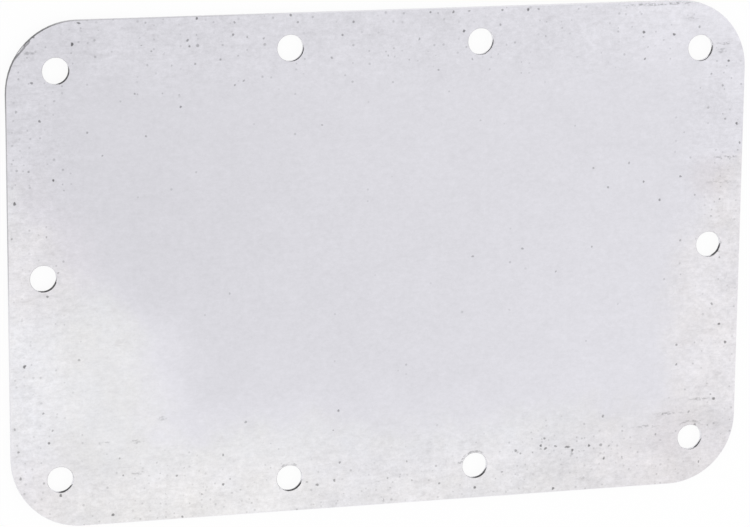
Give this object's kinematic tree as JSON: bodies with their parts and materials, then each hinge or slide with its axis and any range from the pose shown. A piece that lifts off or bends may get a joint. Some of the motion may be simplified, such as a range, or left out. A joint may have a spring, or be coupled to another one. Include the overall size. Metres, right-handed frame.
{
  "type": "rectangular cover plate",
  "caption": "Flat rectangular cover plate with large rounded corners and plain screw holes all round its rim, punched from zinc-coated sheet steel.",
  "frame": {"origin": "middle of the back face, which goes against the housing", "axes": "+X along the length, +Y along the width, +Z out of the front face, where the screw heads seat"},
  "size_m": [0.21, 0.14, 0.0015],
  "materials": {
    "zinc_coated_steel": "satin"
  },
  "bodies": {
    "root": {"cover_plate": "zinc_coated_steel"}
  },
  "joints": []
}
